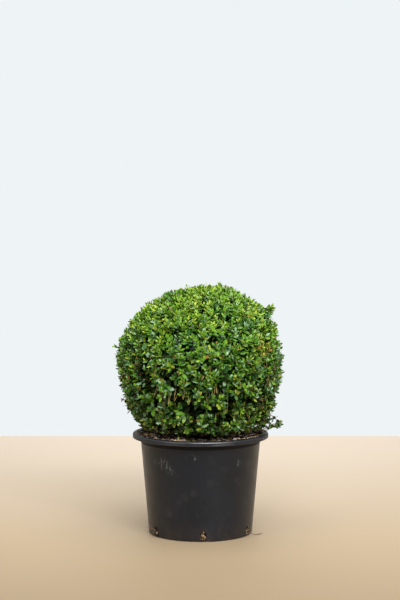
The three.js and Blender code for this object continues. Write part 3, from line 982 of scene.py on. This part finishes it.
class Leaves:
    """Leaf pairs gathered as rows, and the leaves that they become."""

    def __init__(self):
        self.rows = []

    def pair(self, spot, along, turn, age, order, stray, spray, inner):
        """One pair: its place, its stem's direction, its turn about the stem, its age, its order from
        the tip, whether its shoot is a stray, its spray's number from 0 to 1, and whether it is inside."""
        self.rows.append((*spot, *along, turn, age, order, stray, spray, inner))

    def grown(self, face, rng):
        """Every leaf as arrays: base, midrib direction, upper side, length, tone, and inner or not."""
        rows = np.repeat(np.array(self.rows), 2, axis=0)
        count = len(rows)
        spot, along = rows[:, :3], unit(rows[:, 3:6])
        turn, age, order, stray, spray, inner = rows[:, 6:].T
        inner = inner > 0
        turn = turn + np.tile([0, math.pi], count // 2) + rng.normal(scale=0.15, size=count)
        side = unit(np.cross(along, np.array([0.31, 0.17, 0.93])))
        other = np.cross(along, side)
        radial = side * np.cos(turn)[:, None] + other * np.sin(turn)[:, None]
        opening = np.radians(np.clip(27 + 11 * order + rng.normal(scale=9, size=count), 16, 85))
        midrib = unit(along * np.cos(opening)[:, None] + radial * np.sin(opening)[:, None])
        outward = unit(spot - CROWN_CENTRE)
        upper = along + 0.5 * UP + 0.5 * outward + rng.normal(scale=0.25, size=(count, 3))
        upper = unit(upper - (upper * midrib).sum(1)[:, None] * midrib)
        growth = np.clip(0.6 + 0.16 * order, 0.6, 1.0)
        height = share_height(spot)
        length = rng.normal(LEAF_SIZE, LEAF_SIZE_SPREAD, count) - LEAF_SIZE_LOSS * height
        size = growth * length.clip(LEAF_LEAST, LEAF_MOST) * MM
        size = np.where(inner, SHADE_SCALE * size, size)
        age = age + 0.5 * np.minimum(order, 4) - 0.8 + rng.normal(size=count) * (3.4 - 2.5 * height)
        tone = np.clip(np.round(age), 0, AGES - 1).astype(int)
        # painted shade: the hidden old leaves take the darkest tone, which deepens the gaps into the crown
        tone[inner & (tone >= DEEP)] = PAINTED_SHADE
        # The odd leaves: olive ones, mostly low down, a few yellow or rusty ones, and pale ones that are
        # painted sheen, most of them low down.
        odd = np.where(inner, 0.5, rng.random(count))
        olive_spray = (spray < 0.07) & (odd < 0.25) & (height < 0.5)
        tone[(odd < 0.012 + 0.05 * (1 - height) ** 3) | olive_spray] = OLIVE
        tone[odd > 0.996] = YELLOW
        tone[(odd > 0.993) & (odd <= 0.996)] = RUST
        tone[(odd > 0.80 + 0.16 * height) & (odd <= 0.97)] = PAINTED_SHEEN
        reach = YELLOWED_REACH * rng.uniform(0.6, 1, count)
        failing = ~inner & (np.linalg.norm(spot - YELLOWED, axis=1) < reach)
        tone[failing] = rng.choice([OLIVE, YELLOW, RUST, FRESH], failing.sum(), p=[0.45, 0.2, 0.2, 0.15])
        tip = spot + midrib * (size * 0.95)[:, None]
        way = unit(tip - CROWN_CENTRE)
        beyond = np.linalg.norm(tip - CROWN_CENTRE, axis=1) - face.reach(way)
        keep = beyond < np.where(stray > 0, 40 * MM, rng.uniform(1, 8, count) * MM)
        keep &= rng.random(count) > np.clip((order - 3) * 0.09, 0, 0.4)
        keep &= tip[:, 2] > hem(tip)
        return [part[keep] for part in (spot, midrib, upper, size, tone, inner)]


HEM_HEIGHT, HEM_RAGGED, CLUMP_DROP = 25, 8, 18  # in mm over the compost
CLUMP_WIDTH = 9  # degrees


def hem(points):
    """How low the leaves hang at a place: to a little above the rim, and down to it in one clump."""
    turn = np.arctan2(points[:, 1], points[:, 0])
    ragged = ripple(polar(1, turn, 0) * 190 * MM, 70 * MM, 31, 2)
    clump = np.exp(-(np.degrees(turn + CLUMP_TURN) / CLUMP_WIDTH) ** 2)
    return SOIL_TOP + (HEM_HEIGHT + HEM_RAGGED * ragged - CLUMP_DROP * clump).clip(5, 36) * MM


def riser(start, way, tip, tip_way, face, rng):
    """The path of a long bare stem that climbs behind the clipped face before it comes out in leaf."""
    low = tip - UP * rng.uniform(45, 95) * MM
    out = unit(low - CROWN_CENTRE)
    elbow = face.surface(out[None], rng.uniform(3, 12) * MM)[0]
    upward = unit(tip - elbow + rng.normal(scale=0.22, size=3) * np.linalg.norm(tip - elbow))
    span, climb = float(np.linalg.norm(elbow - start)), float(np.linalg.norm(tip - elbow))
    first = hermite(start, way * span, elbow, upward * span * 0.6, np.linspace(0, 0.9, 4))
    second = hermite(elbow, upward * climb, tip, tip_way * climb * 0.6, np.linspace(0, 1, 5))
    return np.vstack([first, second])


def leafy_shoots(shoots, origin, heading, face, rng):
    """The stems of all the shoots, and the leaf pairs along them."""
    height = share_height(shoots.points)
    spray_age = rng.normal(scale=0.8, size=shoots.sprays_made)
    spray_odd = rng.random(shoots.sprays_made)
    leaves, stems = Leaves(), Heap()
    shares = np.linspace(0, 1, 6)
    for i in range(len(shoots.points)):
        start, tip = origin[i], shoots.points[i]
        span = float(np.linalg.norm(tip - start))
        path = hermite(start, heading[i] * span * 0.8, tip, shoots.ways[i] * span * 0.9, shares)
        climbing = 0.1 < height[i] < 0.65 and shoots.depth[i] < 12 * MM and rng.random() < RISERS
        if climbing:
            path = riser(start, heading[i], tip, shoots.ways[i], face, rng)
        rings = len(path)
        stem = TWIG_RADIUS * (1.15 if climbing else 1)
        points, faces = tube(path, np.linspace(stem, TWIG_RADIUS * 0.6, rings), 3)
        old = 2 if rng.random() < 0.55 else 1
        young = 0 if rng.random() < 0.7 else 1
        tones = np.where((faces.max(1) // 3) > 0.6 * rings, young, 1 if climbing else old)
        bare = height[i] < 0.45 and rng.random() < 0.08
        stems.add(points, faces, np.full(len(faces), 2) if bare else tones)
        if bare:
            continue
        length = path_lengths(path)
        internode = INTERNODE * (1.15 - 0.2 * height[i])
        leafy = LEAFY_LENGTH * (0.45 + 0.6 * height[i])
        # The age sets the tone: paler young leaves towards the top, darker old ones low down and on shoots
        # that end deeper in. Partly real growth, and partly painted light: the pale young tones stand in
        # for light shining through the top leaves.
        age = 7.0 - 5.1 * height[i] ** 1.1 + spray_age[shoots.spray[i]] + shoots.depth[i] / MM * 0.06
        age += rng.normal(scale=0.8)
        inner = bool(shoots.inner[i])
        if inner:
            internode, leafy, age = INNER_INTERNODE, INNER_LEAFY, INNER_AGE
        elif shoots.stray[i]:
            leafy = STRAY_LEAFY
        nodes = int(min(length[-1] * 0.96, leafy) / internode) + 1
        turn = rng.uniform(0, math.pi)
        for k in range(nodes):
            at = length[-1] - k * internode * rng.uniform(0.9, 1.1)
            if at <= 0:
                break
            spot = along_path(path, length, at)
            ahead = along_path(path, length, min(at + 2 * MM, length[-1]))
            along = unit(ahead - spot) if at < length[-1] - MM else shoots.ways[i]
            order = k + 3 if inner else k
            leaves.pair(spot, along, turn, age, order, shoots.stray[i], spray_odd[shoots.spray[i]], inner)
            turn += math.pi / 2 + rng.normal(scale=0.25)
    return leaves, stems


def leaf_meshes(leaves, shape, rng, materials, names):
    """Joins leaves of one shape into pieces, by the sector of the crown that they lie in."""
    spot, midrib, upper, size, tone = leaves
    shape_points, shape_faces = shape
    count, pieces = len(spot), len(names)
    across = np.cross(upper, midrib)
    width = size * (rng.uniform(0.5, 0.64, count) - 0.07 * share_height(spot))
    fold = rng.normal(0.10, 0.14, count)
    bend = rng.normal(0.10, 0.09, count)
    x, y, curl = shape_points.T
    out = x[None] * size[:, None]
    aside = y[None] * width[:, None]
    lift = -curl[None] * (fold * width)[:, None] - bend[:, None] * x[None] ** 2 * size[:, None]
    points = (spot[:, None] + midrib[:, None] * out[..., None] + across[:, None] * aside[..., None]
              + upper[:, None] * lift[..., None])
    turn = np.arctan2(spot[:, 1], spot[:, 0]) / (2 * math.pi) + 0.5
    sector = (turn * pieces).astype(int).clip(0, pieces - 1)
    made = []
    for part, name in enumerate(names):
        mine = np.flatnonzero(sector == part)
        corners = points[mine].reshape(-1, 3)
        faces = shape_faces + (np.arange(len(mine)) * len(shape_points))[:, None, None]
        kinds = np.repeat(tone[mine], len(shape_faces))
        made.append(add_mesh(name, corners, faces.reshape(-1, 3), materials, kinds))
    return made


def fallen_leaves(rng, materials):
    """Dropped leaves that lie on the compost near the rim."""
    count = 60
    turn = rng.uniform(0, 2 * math.pi, count)
    radius = rng.uniform(125, 172, count) * MM
    spot = on_soil(radius, turn, 4 * MM)
    midrib = unit(rng.normal(size=(count, 3)) * np.array([1, 1, 0.15]))
    upper = unit(np.cross(midrib, unit(np.cross(UP + rng.normal(scale=0.2, size=(count, 3)), midrib))))
    upper = upper * np.sign(upper[:, 2:3])
    tone = rng.choice([OLIVE, YELLOW, RUST, PAINTED_SHEEN, FRESH], count, p=[0.25, 0.25, 0.3, 0.1, 0.1])
    leaves = [spot, midrib, upper, rng.uniform(12, 17, count) * MM, tone]
    for piece in leaf_meshes(leaves, LEAF, rng, materials, ["fallen_leaves"]):
        place(piece, "foliage")


def make_crown(ends):
    rng = np.random.default_rng(SEED)
    face = ClippedFace()
    shoots = Shoots(face, rng)
    shoots.add(*stray_shoots(face, rng))
    limbs, origin, heading = branch(shoots, ends, rng)
    leaves, stems = leafy_shoots(shoots, origin, heading, face, rng)

    branch_bark = bark("bark_branch", srgb(150, 120, 84), srgb(88, 66, 46))
    stem_tones = [
        plain("twig_green", (128, 148, 54), 0.5),
        plain("twig_tan", (158, 140, 80), 0.6),
        plain("twig_brown", (120, 84, 50), 0.65),
    ]
    branches, twigs = Heap(), Heap()
    for start, way, fork, end_way, thick, radius, load in limbs:
        span = float(np.linalg.norm(fork - start))
        steps = int(np.clip(span / (7 * MM), 2, 12)) + 1
        path = hermite(start, way * span, fork, end_way * span, np.linspace(0, 1, steps))
        sides = 10 if load > 150 else 6 if load > BRANCH_LOAD else 4
        points, faces = tube(path, np.linspace(thick, radius, steps), sides)
        if load > BRANCH_LOAD:
            branches.add(points, faces, 0)
        else:
            twigs.add(points, faces, int(rng.choice([1, 2], p=[0.55, 0.45])))
        # limbs this thin carry inside leaves, most of which take the painted shade tone
        if load < LEAFY_LOAD:
            turn = rng.uniform(0, math.pi)
            for share in np.arange(0.25, 1, 9 * MM / max(span, 9 * MM)):
                spot = start + (fork - start) * share
                if rng.random() < 0.6:
                    leaves.pair(spot, unit(fork - start), turn, 8.0, 4, 0, 1.0, True)
                turn += math.pi / 2
    branches.piece("branches", [branch_bark], "bark", "crown")
    twigs.piece("twigs", stem_tones, "bark", "crown")
    stems.piece("shoot_stems", stem_tones, "bark", "crown", "tuft_shoulder", "tuft_foot")
    materials = [plain(name, colour, roughness, gloss) for name, colour, roughness, gloss in LEAF_TONES]
    *grown, inner = leaves.grown(face, rng)
    outside = leaf_meshes([part[~inner] for part in grown], LEAF, rng, materials, LEAF_PIECES)
    inside = leaf_meshes([part[inner] for part in grown], SHADE_LEAF, rng, materials, ["leaves_inside"])
    for piece in outside + inside:
        place(piece, "foliage", "crown", "tuft_shoulder", "tuft_foot")
    fallen_leaves(rng, materials)


# ---- stage

FLOOR_EDGE = 1.9
FLOOR_FRONT, FLOOR_SIDE = -2.4, 2.4
WALL_COLOUR = srgb(238, 243, 245)
AMBIENT_COLOUR = (1.0, 0.98, 0.88, 1.0)
AMBIENT_LOW, AMBIENT_HIGH = 0.09, 0.43  # strength of the room's light from the horizon and from overhead


def floor_with_painted_shade():
    """Pale boards in soft focus: one tone with painted shade that deepens slowly towards the front, where
    the room's light falls off.
    """
    finish = Finish("floor_pale_painted_shade", roughness=0.6, specular=0.3)
    depth = finish.spread(finish.coordinate("Y"), -1.6, FLOOR_EDGE)
    # painted shade: darkest at the front, lightest at the far edge
    near, middle, far = srgb(108, 90, 64), srgb(174, 154, 126), srgb(230, 215, 198)
    finish.feed("Base Color", finish.ramp(depth, (0.0, near), (0.42, middle), (1.0, far)))
    return finish.material


def make_stage():
    corners = [(-FLOOR_SIDE, FLOOR_FRONT, 0), (FLOOR_SIDE, FLOOR_FRONT, 0),
               (FLOOR_SIDE, FLOOR_EDGE, 0), (-FLOOR_SIDE, FLOOR_EDGE, 0)]
    floor = add_mesh("floor", corners, [(0, 1, 2, 3)], [floor_with_painted_shade()], smooth=False)


# Soft panels of light: name, place, what each faces, width, height and power in watts.
LIGHTS = (
    ("overhead", (0.2, -0.5, 3.1), (0, 0, 0.4), 2.4, 2.4, 64),
    ("front_high", (0.5, -2.8, 2.6), (0, 0, 0.45), 2.0, 0.6, 93),
    ("front_right", (2.4, -3.2, 1.8), (0, 0, 0.35), 2.0, 2.0, 54),
    ("front_left", (-2.6, -2.4, 1.8), (0, 0, 0.35), 1.8, 1.8, 27),
    ("behind", (0, 2.4, 2.8), (0, 0.9, 0.2), 2.2, 2.2, 40),
)


def add_light(name, place_at, aim, width, height, power):
    data = bpy.data.lights.new(name, "AREA")
    data.shape, data.size, data.size_y, data.energy = "RECTANGLE", width, height, power
    light = add_object(name, data)
    light.location = place_at
    light.rotation_euler = (Vector(aim) - Vector(place_at)).to_track_quat("-Z", "Y").to_euler()


def make_light():
    """A pale room: light from all round that is strongest from above, and large soft panels."""
    world = bpy.data.worlds.new("studio")
    world.use_nodes = True
    tree = world.node_tree
    height = add_node(tree, "SeparateXYZ", {"Vector": add_node(tree, "TexCoord", {}, "Generated")}, "Z")
    rise = add_node(tree, "MapRange", {"Value": height, "To Min": AMBIENT_LOW, "To Max": AMBIENT_HIGH})
    rays = add_node(tree, "LightPath", {}).node.outputs
    mirrored = add_node(tree, "Math", {0: rays["Is Glossy Ray"], 1: 1.0, 2: 1.0}, operation="MULTIPLY_ADD")
    strength = add_node(tree, "Math", {0: rise, 1: mirrored}, operation="MULTIPLY")
    ambient = add_node(tree, "Background", {"Color": AMBIENT_COLOUR, "Strength": strength})
    backdrop = tree.nodes["Background"]
    backdrop.inputs["Color"].default_value = WALL_COLOUR
    either = add_node(tree, "MixShader", {0: rays["Is Camera Ray"], 1: ambient, 2: backdrop.outputs[0]})
    tree.links.new(either, tree.nodes["World Output"].inputs["Surface"])
    bpy.context.scene.world = world
    for panel in LIGHTS:
        add_light(*panel)
    bpy.context.scene.view_settings.view_transform = "Standard"


CAMERA_PLACE = (-0.0015, -4.834, 1.008)
CAMERA_PITCH = 3.80
CAMERA_LENS = 99.0


def make_camera():
    data = bpy.data.cameras.new("camera")
    data.lens, data.sensor_width = CAMERA_LENS, 36
    data.clip_end = 60
    camera = add_object("camera", data)
    camera.location = CAMERA_PLACE
    camera.rotation_euler = (math.radians(90 - CAMERA_PITCH), 0, 0)
    bpy.context.scene.camera = camera


make_camera()
make_light()
make_stage()
make_pot()
make_compost()
chips = [plain(name, colour, 0.85, 0.3) for name, colour in CHIP_TONES]
make_chips(chips)
make_plugs(chips)
make_rootlets()
make_crown(make_wood())
